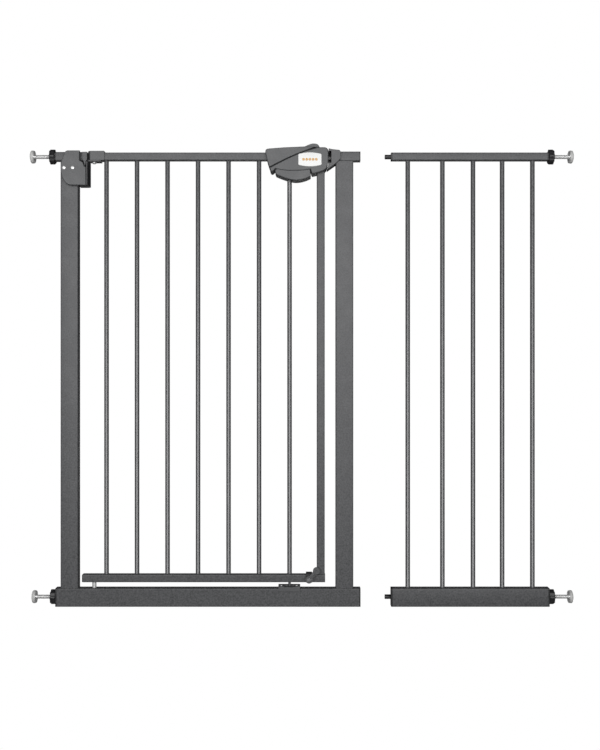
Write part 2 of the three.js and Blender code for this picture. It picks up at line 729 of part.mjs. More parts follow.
function handleShell(side) {
  const shape = bodyShape();
  const solid = alongY(shape, -HALF_HANDLE, HALF_HANDLE, 3);
  const half = HALF_DOOR + FIT;
  const bolt = BOLT_HALF + 1;
  const away = side > 0 ? [-HALF_HANDLE - PAST, WELD_GAP / 2] : [-WELD_GAP / 2, HALF_HANDLE + PAST];
  return cut(
    solid,
    box(hx(-170), hx(5), ...away, hz(-60), hz(40)),
    hollowOf(shape, HALF_HANDLE - HANDLE_WALL),
    railTool(),
    stemSlot(TOP_AXIS, TOP_AXIS + 30),
    box(STILE_X - half, STILE_X + half, -half, half, hz(-60), hz(-5)),
    rodZ(ROD_RADIUS + FIT, hz(-40), TOP_AXIS, LAST_ROD),
    box(hx(-25), hx(-10), -bolt, bolt, BOLT_UNDER - FIT, BOLT_UNDER + BOLT_HEIGHT + FIT),
    triggerWindow(),
    ...screwAxes().map(screwRecess),
  );
}

// Recesses in the rear shell for the screws that hold the handle together.
function screwAxes() {
  return [
    [hx(-129), hz(-26)],
    [hx(-38), hz(-30)],
    [hx(-29), hz(8)],
  ];
}

function screwRecess([x, z]) {
  return rodY(SCREW_RECESS_RADIUS, HALF_HANDLE - SCREW_RECESS, HALF_HANDLE + PAST, x, z);
}

const TRIGGER_HALF = HALF_HANDLE - HANDLE_WALL - FIT;

function triggerShape(grow) {
  const shape = new THREE.Shape();
  const at = (x, z) => [hx(x), hz(z)];
  shape.moveTo(...at(-136.2 - grow, -32 + grow));
  shape.quadraticCurveTo(...at(-138.2 - grow, -39.2), ...at(-134 - grow, -43));
  shape.bezierCurveTo(...at(-117, -50.5 - grow), ...at(-100, -56 - grow), ...at(-90, -56.1 - grow));
  shape.bezierCurveTo(...at(-78, -56.1 - grow), ...at(-65, -51.8 - grow), ...at(-56.2 + grow, -46.8));
  shape.lineTo(...at(-57.6 + grow, -33));
  shape.lineTo(...at(-62, -23 + grow));
  shape.lineTo(...at(-116, -23 + grow));
  shape.closePath();
  return shape;
}

function triggerWindow() {
  const shape = triggerShape(FIT + 0.2);
  const room = alongY(shape, -TRIGGER_HALF - FIT, TRIGGER_HALF + FIT);
  const travel = room.clone().translate(0, 0, TRIGGER_STROKE);
  return join(room, travel);
}

function gripTrigger() {
  const shape = triggerShape(0);
  const solid = alongY(shape, -TRIGGER_HALF, TRIGGER_HALF, 2);
  const half = TRIGGER_HALF - HANDLE_WALL;
  return cut(
    solid,
    hollowOf(shape, half),
    box(hx(-114), hx(-64), -half, half, hz(-30), hz(-15)),
    rodZ(ROD_RADIUS + 0.8, hz(-65), hz(-40), LAST_ROD),
  );
}

function latchBolt() {
  const section = roundedRectangle(2 * BOLT_HALF, BOLT_HEIGHT, 1.2, 0, BOLT_UNDER + BOLT_HEIGHT / 2);
  return alongX(section, BOLT_LEFT, BOLT_RIGHT, 0, 3);
}

function thumbSlider() {
  const shape = new THREE.Shape();
  shape.moveTo(hx(-72), hz(20.4));
  shape.lineTo(hx(-36.4), hz(20.4));
  shape.quadraticCurveTo(hx(-39.5), hz(26.4), hx(-42), hz(27));
  shape.quadraticCurveTo(hx(-47.5), hz(28.4), hx(-53), hz(28));
  shape.quadraticCurveTo(hx(-60), hz(26.5), hx(-72), hz(20.4));
  const cap = alongY(shape, -13, 13);
  const stemUnder = BOLT_UNDER + BOLT_HEIGHT + WELD_GAP;
  return join(cap, box(STEM_LEFT, STEM_RIGHT, -STEM_HALF, STEM_HALF, stemUnder, hz(21)));
}

function latchSpring() {
  const length = 30;
  const spring = coil(2.9, 0.8, 7, length - 0.8).rotateY(Math.PI / 2);
  return spring.translate(BOLT_LEFT - length + 0.2, 0, BOLT_UNDER + BOLT_HEIGHT / 2);
}

// ---- Stop lever ----

const STOP_X = RIGHT_INNER - 60.2;
const STOP_Z = DOOR_BOTTOM + 7.5;
const STOP_ARM = 26.1;
const STOP_ANGLE = (50.3 * Math.PI) / 180;
const SADDLE_FRONT = -HALF_FRAME - FIT;
const STOP_PIN_RADIUS = 2.5;
const STOP_PIN_HEAD = 4;
const STOP_HUB = 8.3;
const STOP_TIP = 7.9;
const LEVER_FRONT = -18.7;
const SADDLE_HALF = 7;
const SADDLE_WALL = 2.5;

function stopSaddle() {
  const left = STOP_X - SADDLE_HALF;
  const right = STOP_X + SADDLE_HALF;
  const top = DOOR_RAIL_TOP + FIT + SADDLE_WALL;
  const solid = box(left, right, SADDLE_FRONT, HALF_DOOR + SADDLE_WALL, DOOR_BOTTOM + 0.5, top);
  const half = HALF_DOOR + FIT;
  const rail = box(left - PAST, right + PAST, -half, half, DOOR_BOTTOM - PAST, DOOR_RAIL_TOP + FIT);
  return cut(solid, rail, rodY(STOP_PIN_RADIUS + 0.1, SADDLE_FRONT - PAST, -HALF_DOOR, STOP_X, STOP_Z));
}

function stopPin() {
  const shaft = rodY(STOP_PIN_RADIUS, LEVER_FRONT - 1, -HALF_DOOR - FIT - WELD_GAP, STOP_X, STOP_Z, 16);
  return join(shaft, rodY(STOP_PIN_HEAD, LEVER_FRONT - 1.9, LEVER_FRONT - 0.3, STOP_X, STOP_Z, 16));
}

function stopLever() {
  const front = LEVER_FRONT;
  const back = SADDLE_FRONT - WELD_GAP;
  const tipX = STOP_X + STOP_ARM * Math.cos(STOP_ANGLE);
  const tipZ = STOP_Z + STOP_ARM * Math.sin(STOP_ANGLE);
  const arm = box(0, STOP_ARM, front + 0.8, back - 0.6, -4.5, 4.5);
  const ridge = box(4, STOP_ARM - 3, front - 0.8, front + 2, -1.2, 1.2);
  const place = (piece) => piece.rotateY(-STOP_ANGLE).translate(STOP_X, 0, STOP_Z);
  const solid = join(
    rodY(STOP_HUB, front, back, STOP_X, STOP_Z, 20),
    rodY(STOP_TIP, front, back, tipX, tipZ, 20),
    place(arm),
    place(ridge),
  );
  return cut(
    solid,
    rodY(STOP_PIN_RADIUS + RUN, front - 3, back + PAST, STOP_X, STOP_Z),
    rodY(STOP_PIN_HEAD + 1, front - 3, front + 0.1, STOP_X, STOP_Z),
    rodY(2, front - 3, front + 2.5, tipX, tipZ),
  );
}

// ---- Wall fixings ----

function spindle(endX, outward, z, reach) {
  const rim = PAD_DIAMETER / 2;
  const profile = [
    [0, -SPINDLE_INSIDE],
    [SPINDLE_RADIUS - 1, -SPINDLE_INSIDE],
    [SPINDLE_RADIUS, -SPINDLE_INSIDE + 1],
    [SPINDLE_RADIUS, reach - 7.5],
    [SPINDLE_RADIUS + 1.6, reach - 5.6],
    [rim - 3.5, reach - 6.2],
    [rim - 1.6, reach - 9.2],
    [rim - 0.4, reach - 9],
    [rim, reach - 4],
    [rim - 1.2, reach - 1.6],
    [7, reach],
    [0, reach],
  ];
  const points = profile.map(([r, h]) => new THREE.Vector2(r, h));
  const turned = new THREE.LatheGeometry(points, 20).rotateZ((-outward * Math.PI) / 2);
  return turned.translate(endX, 0, z);
}

function handNut(endX, outward, z) {
  const corners = NUT_LOBES * 4;
  const points = [];
  for (let i = 0; i < corners; i += 1) {
    const angle = (i / corners) * Math.PI * 2;
    const radius = NUT_DIAMETER / 2 - LOBE_DEPTH + LOBE_DEPTH * Math.cos(NUT_LOBES * angle);
    points.push([radius * Math.cos(angle), z + radius * Math.sin(angle)]);
  }
  const near = endX + outward * WELD_GAP;
  const far = endX + outward * (WELD_GAP + NUT_LENGTH);
  const from = Math.min(near, far);
  const solid = alongX(outline(points), from, from + NUT_LENGTH, 1.5);
  return cut(solid, rodX(SPINDLE_RADIUS + RUN, from - PAST, from + NUT_LENGTH + PAST, z, 20));
}

// ---- Extension panel ----

const PANEL_TOP_LEFT = PANEL_LEFT + 0.2;
const PANEL_TOP_RIGHT = PANEL_RIGHT - PANEL_TOP_SHORT;

function panelTopRail() {
  const from = PANEL_TOP_LEFT + PLUG_FLANGE + WELD_GAP;
  return tubeX(DOOR_TUBE, DOOR_TUBE, TOP_AXIS, from, PANEL_TOP_RIGHT - PLUG_FLANGE - WELD_GAP);
}

function panelBottomRail() {
  const from = PANEL_LEFT + PLUG_FLANGE + WELD_GAP;
  return tubeX(FRAME_DEPTH, RAIL_HEIGHT, BOTTOM_AXIS, from, PANEL_RIGHT - PLUG_FLANGE - WELD_GAP);
}

function panelRod(fraction) {
  const x = PANEL_LEFT + fraction * PANEL_WIDTH;
  return roundTubeZ(x, RAIL_HEIGHT + WELD_GAP, DOOR_TOP_UNDER - WELD_GAP);
}

// A plug with a locating pin that enters the frame's end plug.
function panelPin(endX, depth, height, z) {
  const plug = endPlug(endX, -1, depth, height, z, 2);
  return join(plug, rodX(ROD_RADIUS, endX - PIN_REACH, endX + PLUG_FLANGE + PLUG_INSERT - 1, z));
}

// ---- Assembly ----

function addFrame() {
  add("frame_bottom_rail", frameBottomRail(), PAINT);
  add("frame_left_upright", frameUpright(LEFT_INNER, -1, LEFT_STUB_HEIGHT), PAINT);
  add("frame_right_upright", frameUpright(RIGHT_INNER, 1, RIGHT_STUB_HEIGHT), PAINT);
  add("top_left_stub", topLeftStub(), PAINT);
  add("top_right_stub", topRightStub(), PAINT);
  const stubLeft = FRAME_LEFT - STUB_OVERHANG;
  const slide = SPINDLE_RADIUS + RUN;
  const socket = ROD_RADIUS + 0.5;
  const leftStub = [STUB_DEPTH, LEFT_STUB_HEIGHT, TOP_AXIS];
  const rightStub = [STUB_DEPTH, RIGHT_STUB_HEIGHT, TOP_AXIS];
  const rail = [FRAME_DEPTH, RAIL_HEIGHT, BOTTOM_AXIS];
  add("end_plug_top_left", endPlug(stubLeft, -1, ...leftStub, slide), DARK_PLASTIC);
  add("end_plug_bottom_left", endPlug(FRAME_LEFT, -1, ...rail, slide), DARK_PLASTIC);
  add("end_plug_top_right", endPlug(FRAME_RIGHT, 1, ...rightStub, socket), DARK_PLASTIC);
  add("end_plug_bottom_right", endPlug(FRAME_RIGHT, 1, ...rail, socket), DARK_PLASTIC);
  add("bottom_catch", bottomCatch(), PLASTIC);
  add("latch_keeper", latchKeeper(), PLASTIC);
}

function addHinge() {
  const rivets = rivetAxes();
  add("hinge_cover", hingeCover(), PLASTIC);
  add("hinge_housing", hingeHousing(), DARK_PLASTIC);
  add("hinge_bracket", hingeBracket(), PAINT);
  add("hinge_rivet_left", hingeRivet(rivets[0]), ZINC);
  add("hinge_rivet_right", hingeRivet(rivets[1]), ZINC);
  add("pivot_bush", pivotBush(), DARK_PLASTIC);
  add("top_hinge_pin", topHingePin(), ZINC);
  add("bottom_hinge_pin", bottomHingePin(), ZINC);
  add("closing_spring", closingSpring(), ZINC);
}

function addDoor() {
  add("door_top_rail", doorTopRail(), PAINT);
  add("door_bottom_rail", doorBottomRail(), PAINT);
  add("door_stile", doorStile(), PAINT);
  for (let i = 0; i < DOOR_ROD_COUNT; i += 1) {
    add(`door_rod_${i + 1}`, doorRod(i), PAINT);
  }
  add("hinge_collar", hingeCollar(), PLASTIC);
  add("stop_saddle", stopSaddle(), DARK_PLASTIC);
  add("stop_pin", stopPin(), ZINC);
  add("stop_lever", stopLever(), PLASTIC);
}

function addHandle() {
  add("handle_wing", handleWing(), PLASTIC);
  add("handle_front_shell", handleShell(-1), PLASTIC);
  add("handle_rear_shell", handleShell(1), PLASTIC);
  add("grip_trigger", gripTrigger(), PLASTIC);
  add("thumb_slider", thumbSlider(), PLASTIC);
  add("latch_bolt", latchBolt(), DARK_PLASTIC);
  add("latch_spring", latchSpring(), ZINC);
}

function addPanel() {
  add("panel_top_rail", panelTopRail(), PAINT);
  add("panel_bottom_rail", panelBottomRail(), PAINT);
  PANEL_RODS.forEach((fraction, i) => add(`panel_rod_${i + 1}`, panelRod(fraction), PAINT));
  const top = [DOOR_TUBE, DOOR_TUBE, TOP_AXIS];
  const bottom = [FRAME_DEPTH, RAIL_HEIGHT, BOTTOM_AXIS];
  const slide = SPINDLE_RADIUS + RUN;
  add("panel_pin_top", panelPin(PANEL_TOP_LEFT, ...top), DARK_PLASTIC);
  add("panel_pin_bottom", panelPin(PANEL_LEFT, ...bottom), DARK_PLASTIC);
  add("panel_plug_top", endPlug(PANEL_TOP_RIGHT, 1, ...top, slide), DARK_PLASTIC);
  add("panel_plug_bottom", endPlug(PANEL_RIGHT, 1, ...bottom, slide), DARK_PLASTIC);
}

function addWallFixings() {
  const corners = [
    ["top_left", FRAME_LEFT - STUB_OVERHANG, -1, TOP_AXIS, TOP_REACH],
    ["bottom_left", FRAME_LEFT, -1, BOTTOM_AXIS, BOTTOM_REACH],
    ["top_right", PANEL_TOP_RIGHT, 1, TOP_AXIS, TOP_REACH],
    ["bottom_right", PANEL_RIGHT, 1, BOTTOM_AXIS, BOTTOM_REACH],
  ];
  for (const [name, endX, outward, z, reach] of corners) {
    add(`spindle_${name}`, spindle(endX, outward, z, reach), ZINC);
    add(`hand_nut_${name}`, handNut(endX, outward, z), DARK_PLASTIC);
  }
}

addFrame();
addHinge();
addDoor();
addHandle();
addPanel();
addWallFixings();

export default group;
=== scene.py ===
"""Looks of a pressure-fit safety gate with a swinging door and a plug-in extension panel."""

import json
import math

import bmesh
import bpy
from mathutils import Matrix, Vector

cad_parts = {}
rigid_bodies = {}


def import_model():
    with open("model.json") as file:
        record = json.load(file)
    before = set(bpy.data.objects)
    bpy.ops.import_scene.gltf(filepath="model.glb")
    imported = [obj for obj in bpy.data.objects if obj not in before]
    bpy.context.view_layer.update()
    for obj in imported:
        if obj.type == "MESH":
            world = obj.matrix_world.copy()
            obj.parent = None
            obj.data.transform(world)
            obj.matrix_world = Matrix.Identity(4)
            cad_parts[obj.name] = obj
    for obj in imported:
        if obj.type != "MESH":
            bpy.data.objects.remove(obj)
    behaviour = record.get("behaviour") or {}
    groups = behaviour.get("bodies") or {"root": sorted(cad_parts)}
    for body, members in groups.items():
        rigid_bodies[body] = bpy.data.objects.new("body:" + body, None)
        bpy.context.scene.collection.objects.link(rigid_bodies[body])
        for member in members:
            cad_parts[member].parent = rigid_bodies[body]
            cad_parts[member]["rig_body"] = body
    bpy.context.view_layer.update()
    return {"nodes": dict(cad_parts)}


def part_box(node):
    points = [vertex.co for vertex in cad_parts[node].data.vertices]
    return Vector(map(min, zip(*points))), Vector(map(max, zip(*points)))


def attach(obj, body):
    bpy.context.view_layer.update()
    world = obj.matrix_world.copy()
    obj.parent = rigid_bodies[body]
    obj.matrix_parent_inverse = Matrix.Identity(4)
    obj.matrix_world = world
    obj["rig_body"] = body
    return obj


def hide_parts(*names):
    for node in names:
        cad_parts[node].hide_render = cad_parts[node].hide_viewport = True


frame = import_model()

MM = 0.001
BODY_OF = {node.name: node["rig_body"] for node in frame["nodes"].values()}

# Tube stock and turned parts, in millimetres
TUBE_WALL = 1.2
TUBE_CORNER = 2.6
ROD_WALL = 1.0
ROD_STEPS = 32
WELD_LEG = 1.5
WELD_RADIUS = 0.9
WELD_SINK = 0.985  # share of a face's depth at which its bead lies
THREAD_PITCH = 1.75
THREAD_DEPTH = 0.45
SHANK_RADIUS = 4.6
PAD_ROOT = 10.5  # from the pad's face back to the end of the thread
FLAT_ANGLE = 0.5  # degrees, faces this close to level with each other are merged

# Handle label, in millimetres
LABEL_SIZE = (52, 25)
LABEL_BOW = 3.2
LABEL_CORNER = 2
LABEL_DEPTH = 0.75
LABEL_RIM = 0.35
LABEL_FROM_KEEPER = -38.4
LABEL_FROM_AXIS = -9.9
DOT_COUNT = 5
DOT_PITCH = 7.2
DOT_RADIUS = 3.1

# Rear screws, in millimetres from the right upright's inner face and the top rail's axis
REAR_SCREWS = ((-129, -26), (-38, -30), (-29, 8))
SCREW_RECESS = 1.5

# Catch screws: insets from the catch's left and right ends, and depth
CATCH_SCREWS = (6.6, 7.8, -5)

# Black plate of painted shade in the keeper's mouth, from the right upright's inner face and the top rail's
# axis
SHADE_PLATE_ACROSS = (-15.4, -1.2)
SHADE_PLATE_UP = (-16.1, 10.5)


# ---- Node helpers ----


def socket_of(sockets, name):
    return next(s for s in sockets if s.name == name and s.enabled)


def wire(tree, source, output, target, input_name):
    tree.links.new(socket_of(source.outputs, output), socket_of(target.inputs, input_name))


def add_node(tree, kind, settings=None, values=None):
    node = tree.nodes.new(kind)
    for key, value in (settings or {}).items():
        setattr(node, key, value)
    for key, value in (values or {}).items():
        socket_of(node.inputs, key).default_value = value
    return node


def new_group(name, inputs, outputs):
    group = bpy.data.node_groups.new(name, "ShaderNodeTree")
    kinds = {"value": "NodeSocketFloat", "vector": "NodeSocketVector", "colour": "NodeSocketColor"}
    for label, kind, default in inputs:
        made = group.interface.new_socket(name=label, in_out="INPUT", socket_type=kinds[kind])
        if default is not None:
            made.default_value = default
    for label, kind in outputs:
        group.interface.new_socket(name=label, in_out="OUTPUT", socket_type=kinds[kind])
    start = group.nodes.new("NodeGroupInput")
    end = group.nodes.new("NodeGroupOutput")
    return group, start, end


def place_group(tree, group, values):
    node = tree.nodes.new("ShaderNodeGroup")
    node.node_tree = group
    for key, value in values.items():
        node.inputs[key].default_value = value
    return node


def maths(tree, operation, first, second, clamp=False):
    """A Math node; each of first and second is a number or a (node, output) pair."""
    node = add_node(tree, "ShaderNodeMath", {"operation": operation, "use_clamp": clamp})
    for index, term in enumerate((first, second)):
        if isinstance(term, tuple):
            tree.links.new(socket_of(term[0].outputs, term[1]), node.inputs[index])
        else:
            node.inputs[index].default_value = term
    return node


def mix_colour(tree, factor, first, second):
    """A colour mix; factor is a (node, output) pair, first and second colours or pairs."""
    node = add_node(tree, "ShaderNodeMix", {"data_type": "RGBA"})
    tree.links.new(socket_of(factor[0].outputs, factor[1]), node.inputs[0])
    for index, term in ((6, first), (7, second)):
        if isinstance(term[0], bpy.types.Node):
            tree.links.new(socket_of(term[0].outputs, term[1]), node.inputs[index])
        else:
            node.inputs[index].default_value = (*term, 1)
    return node


# ---- Shared effects ----


def make_grain_group():
    """Fine pimples, larger mottling and slow drift of tone over a surface."""
    group, start, end = new_group(
        "surface_grain",
        [
            ("Fine Scale", "value", 700.0),
            ("Mottle Scale", "value", 90.0),
            ("Drift Scale", "value", 6.0),
            ("Mottle Share", "value", 0.4),
        ],
        [("Tone", "value"), ("Height", "value"), ("Drift", "value")],
    )
    place = add_node(group, "ShaderNodeTexCoord")
    fine = add_node(group, "ShaderNodeTexNoise", values={"Detail": 3.0, "Roughness": 0.62})
    mottle = add_node(group, "ShaderNodeTexNoise", values={"Detail": 2.0, "Roughness": 0.5})
    drift = add_node(group, "ShaderNodeTexNoise", values={"Detail": 2.0, "Roughness": 0.5})
    pits = add_node(group, "ShaderNodeTexVoronoi", values={"Randomness": 1.0})
    scales = ((fine, "Fine Scale"), (mottle, "Mottle Scale"), (drift, "Drift Scale"), (pits, "Fine Scale"))
    for texture, scale in scales:
        wire(group, place, "Object", texture, "Vector")
        wire(group, start, scale, texture, "Scale")
    blend = add_node(group, "ShaderNodeMix", {"data_type": "FLOAT"})
    group.links.new(start.outputs["Mottle Share"], blend.inputs[0])
    group.links.new(fine.outputs[0], blend.inputs[2])
    group.links.new(mottle.outputs[0], blend.inputs[3])
    tone = add_node(group, "ShaderNodeMapRange", {"clamp": True}, {"From Min": 0.36, "From Max": 0.64})
    group.links.new(blend.outputs[0], tone.inputs["Value"])
    height = add_node(group, "ShaderNodeMath", {"operation": "MULTIPLY_ADD"})
    group.links.new(socket_of(pits.outputs, "Distance"), height.inputs[0])
    height.inputs[1].default_value = -0.5
    group.links.new(fine.outputs[0], height.inputs[2])
    group.links.new(tone.outputs[0], end.inputs["Tone"])
    group.links.new(height.outputs[0], end.inputs["Height"])
    group.links.new(drift.outputs[0], end.inputs["Drift"])
    return group


def make_edge_group():
    """Rounds hard edges in the shading and says where they are."""
    group, start, end = new_group(
        "soft_edges",
        [("Radius", "value", 0.0006), ("Spread", "value", 0.25)],
        [("Normal", "vector"), ("Edge", "value")],
    )
    rounded = add_node(group, "ShaderNodeBevel", {"samples": 4})
    wire(group, start, "Radius", rounded, "Radius")
    shape = add_node(group, "ShaderNodeNewGeometry")
    agree = add_node(group, "ShaderNodeVectorMath", {"operation": "DOT_PRODUCT"})
    group.links.new(rounded.outputs["Normal"], agree.inputs[0])
    group.links.new(shape.outputs["Normal"], agree.inputs[1])
    away = maths(group, "SUBTRACT", 1.0, (agree, "Value"), clamp=True)
    edge = add_node(group, "ShaderNodeMapRange", {"clamp": True}, {"From Min": 0.02})
    group.links.new(away.outputs[0], edge.inputs["Value"])
    group.links.new(start.outputs["Spread"], edge.inputs["From Max"])
    group.links.new(rounded.outputs["Normal"], end.inputs["Normal"])
    group.links.new(edge.outputs[0], end.inputs["Edge"])
    return group


def make_rub_group():
    """Patches and thin lines where hands and use have rubbed a surface."""
    group, start, end = new_group(
        "rubbed_marks",
        [("Patch Scale", "value", 30.0), ("Line Scale", "value", 260.0), ("Stretch", "value", 0.06)],
        [("Patch", "value"), ("Line", "value")],
    )
    place = add_node(group, "ShaderNodeTexCoord")
    patch = add_node(group, "ShaderNodeTexNoise", values={"Detail": 4.0, "Roughness": 0.6})
    wire(group, place, "Object", patch, "Vector")
    wire(group, start, "Patch Scale", patch, "Scale")
    squeeze = add_node(group, "ShaderNodeCombineXYZ", values={"Y": 1.0, "Z": 1.0})
    group.links.new(start.outputs["Stretch"], squeeze.inputs["X"])
    lengthen = add_node(group, "ShaderNodeVectorMath", {"operation": "MULTIPLY"})
    group.links.new(place.outputs["Object"], lengthen.inputs[0])
    group.links.new(squeeze.outputs[0], lengthen.inputs[1])
    line = add_node(group, "ShaderNodeTexNoise", values={"Detail": 2.0, "Roughness": 0.4})
    group.links.new(lengthen.outputs[0], line.inputs["Vector"])
    wire(group, start, "Line Scale", line, "Scale")
    for texture, low, high, label in ((patch, 0.45, 0.75, "Patch"), (line, 0.55, 0.8, "Line")):
        spread = add_node(group, "ShaderNodeMapRange", {"clamp": True}, {"From Min": low, "From Max": high})
        group.links.new(texture.outputs[0], spread.inputs["Value"])
        group.links.new(spread.outputs[0], end.inputs[label])
    return group


GRAIN = make_grain_group()
EDGES = make_edge_group()
RUBS = make_rub_group()
POLISH = -0.08  # how far a rubbed patch lowers the roughness


def coated(name, dark, light, worn, settings, shader):
    """A grained, edge-worn finish. Settings: grain scales, bump, roughness span, wear and edge radius."""
    material = bpy.data.materials.new(name)
    material.use_nodes = True
    tree = material.node_tree
    surface = tree.nodes["Principled BSDF"]
    for key, value in shader.items():
        surface.inputs[key].default_value = value
    grain = place_group(
        tree,
        GRAIN,
        {
            "Fine Scale": settings["fine"],
            "Mottle Scale": settings["mottle"],
            "Drift Scale": settings.get("drift", 5.0),
            "Mottle Share": settings.get("share", 0.4),
        },
    )
    edges = place_group(tree, EDGES, {"Radius": settings.get("radius", 0.0006), "Spread": 0.3})
    rubs = place_group(tree, RUBS, {"Patch Scale": 30.0, "Line Scale": 300.0})
    toned = mix_colour(tree, (grain, "Tone"), dark, light)
    drifted = maths(tree, "MULTIPLY", (grain, "Drift"), settings.get("drift_share", 0.35))
    slow = mix_colour(tree, (drifted, "Value"), (toned, "Result"), light)
    wear = maths(tree, "MULTIPLY", (edges, "Edge"), settings.get("wear", 0.35))
    broken = maths(tree, "MULTIPLY", (wear, "Value"), (grain, "Tone"))
    edged = mix_colour(tree, (broken, "Value"), (slow, "Result"), worn)
    tree.links.new(edged.outputs[2], surface.inputs["Base Color"])
    low, high = settings["roughness"]
    rough = add_node(tree, "ShaderNodeMapRange", values={"To Min": low, "To Max": high})
    tree.links.new(grain.outputs["Tone"], rough.inputs["Value"])
    smooth = maths(tree, "MULTIPLY", (rubs, "Patch"), POLISH)
    lined = maths(tree, "MULTIPLY", (rubs, "Line"), settings.get("lines", 0.04))
    both = maths(tree, "ADD", (smooth, "Value"), (lined, "Value"))
    total = maths(tree, "ADD", (rough, "Result"), (both, "Value"), clamp=True)
    tree.links.new(total.outputs[0], surface.inputs["Roughness"])
    bump_values = {"Strength": settings["bump"], "Distance": settings["depth"]}
    bump = add_node(tree, "ShaderNodeBump", values=bump_values)
    tree.links.new(grain.outputs["Height"], bump.inputs["Height"])
    tree.links.new(edges.outputs["Normal"], bump.inputs["Normal"])
    tree.links.new(bump.outputs["Normal"], surface.inputs["Normal"])
    return material


# ---- Finishes ----

POWDER_COAT = coated(
    "charcoal_powder_coat",
    (0.038, 0.039, 0.041),
    (0.112, 0.113, 0.118),
    (0.20, 0.20, 0.205),
    {"fine": 560.0, "mottle": 300.0, "drift": 4.0, "share": 0.6, "bump": 0.35, "depth": 0.0004,
     "roughness": (0.36, 0.52), "wear": 0.2, "radius": 0.0007},
    {"Specular IOR Level": 0.42},
)
ROD_COAT = coated(
    "charcoal_rod_coat",
    (0.044, 0.045, 0.047),
    (0.112, 0.113, 0.118),
    (0.20, 0.20, 0.205),
    {"fine": 700.0, "mottle": 330.0, "drift": 4.0, "share": 0.5, "bump": 0.15, "depth": 0.0003,
     "roughness": (0.26, 0.38), "wear": 0.2, "radius": 0.0005},
    {"Specular IOR Level": 1.0},
)
GREY_MOULDING = coated(
    "dark_grey_moulding",
    (0.060, 0.061, 0.064),
    (0.110, 0.112, 0.116),
    (0.20, 0.20, 0.205),
    {"fine": 900.0, "mottle": 340.0, "drift": 14.0, "share": 0.5, "bump": 0.2, "depth": 0.0002,
     "roughness": (0.4, 0.54), "wear": 0.35, "radius": 0.0007},
    {"Specular IOR Level": 0.5},
)
BLACK_MOULDING = coated(
    "black_moulding",
    (0.009, 0.009, 0.010),
    (0.024, 0.024, 0.026),
    (0.10, 0.10, 0.105),
    {"fine": 1100.0, "mottle": 300.0, "drift": 12.0, "share": 0.4, "bump": 0.16, "depth": 0.00015,
     "roughness": (0.34, 0.5), "wear": 0.35, "radius": 0.0006},
    {"Specular IOR Level": 0.5},
)
ZINC_PLATE = coated(
    "bright_zinc_plate",
    (0.66, 0.665, 0.67),
    (0.86, 0.86, 0.85),
    (0.93, 0.93, 0.92),
    {"fine": 900.0, "mottle": 120.0, "drift": 20.0, "share": 0.5, "bump": 0.05, "depth": 0.00008,
     "roughness": (0.3, 0.42), "wear": 0.3, "radius": 0.0003, "lines": 0.1},
    {"Metallic": 0.5},
)
SPRING_STEEL = coated(
    "spring_steel",
    (0.20, 0.20, 0.21),
    (0.34, 0.34, 0.35),
    (0.5, 0.5, 0.5),
    {"fine": 1200.0, "mottle": 200.0, "bump": 0.06, "depth": 0.00008,
     "roughness": (0.28, 0.42), "radius": 0.0002},
    {"Metallic": 1.0},
)
PALE_RUBBER = coated(
    "pale_rubber_facing",
    (0.50, 0.50, 0.49),
    (0.62, 0.62, 0.61),
    (0.7, 0.7, 0.69),
    {"fine": 1400.0, "mottle": 220.0, "bump": 0.1, "depth": 0.0001,
     "roughness": (0.5, 0.64), "radius": 0.0004},
    {"Specular IOR Level": 0.4},
)
LABEL_FILM = coated(
    "white_label_film",
    (0.86, 0.86, 0.85),
    (0.93, 0.93, 0.92),
    (0.94, 0.94, 0.93),
    {"fine": 1600.0, "mottle": 150.0, "bump": 0.02, "depth": 0.00005,
     "roughness": (0.3, 0.4), "radius": 0.0003},
    {"Specular IOR Level": 0.5},
)
TAN_INK = coated(
    "tan_printing_ink",
    (0.62, 0.33, 0.11),
    (0.78, 0.48, 0.20),
    (0.8, 0.5, 0.25),
    {"fine": 1800.0, "mottle": 180.0, "bump": 0.03, "depth": 0.00005,
     "roughness": (0.35, 0.45), "radius": 0.0002},
    {"Specular IOR Level": 0.4},
)
FINISHES = {
    "paint": POWDER_COAT,
    "plastic": GREY_MOULDING,
    "dark_plastic": BLACK_MOULDING,
    "zinc": ZINC_PLATE,
}


# ---- Piece helpers ----


def put(bm, name, material, body, crease=35.0):
    """Turns a finished bmesh into a piece that rides on a body."""
    bmesh.ops.remove_doubles(bm, verts=bm.verts[:], dist=2e-6)
    bmesh.ops.recalc_face_normals(bm, faces=bm.faces[:])
    mesh = bpy.data.meshes.new(name)
    bm.to_mesh(mesh)
    bm.free()
    mesh.materials.append(material)
    mesh.shade_smooth()
    mesh.set_sharp_from_angle(angle=math.radians(crease))
    piece = bpy.data.objects.new(name, mesh)
    bpy.context.scene.collection.objects.link(piece)
    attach(piece, body)
    return piece


def turn_to(axis):
    """The matrix that lays local +Z along a direction."""
    return Vector(axis).to_track_quat("Z", "Y").to_matrix().to_4x4()


def move_to(bm, origin, axis):
    matrix = Matrix.Translation(Vector(origin)) @ turn_to(axis)
    bmesh.ops.transform(bm, matrix=matrix, verts=bm.verts[:])


def hollow(bm, face, wall, length):
    """Cuts a bore in a flat section, then draws the ring out along +Z."""
    bmesh.ops.inset_region(bm, faces=[face], thickness=wall, use_boundary=True, use_even_offset=True)
    bmesh.ops.delete(bm, geom=[face], context="FACES")
    drawn = bmesh.ops.extrude_face_region(bm, geom=bm.faces[:])
    moved = [item for item in drawn["geom"] if isinstance(item, bmesh.types.BMVert)]
    bmesh.ops.translate(bm, vec=(0, 0, length), verts=moved)


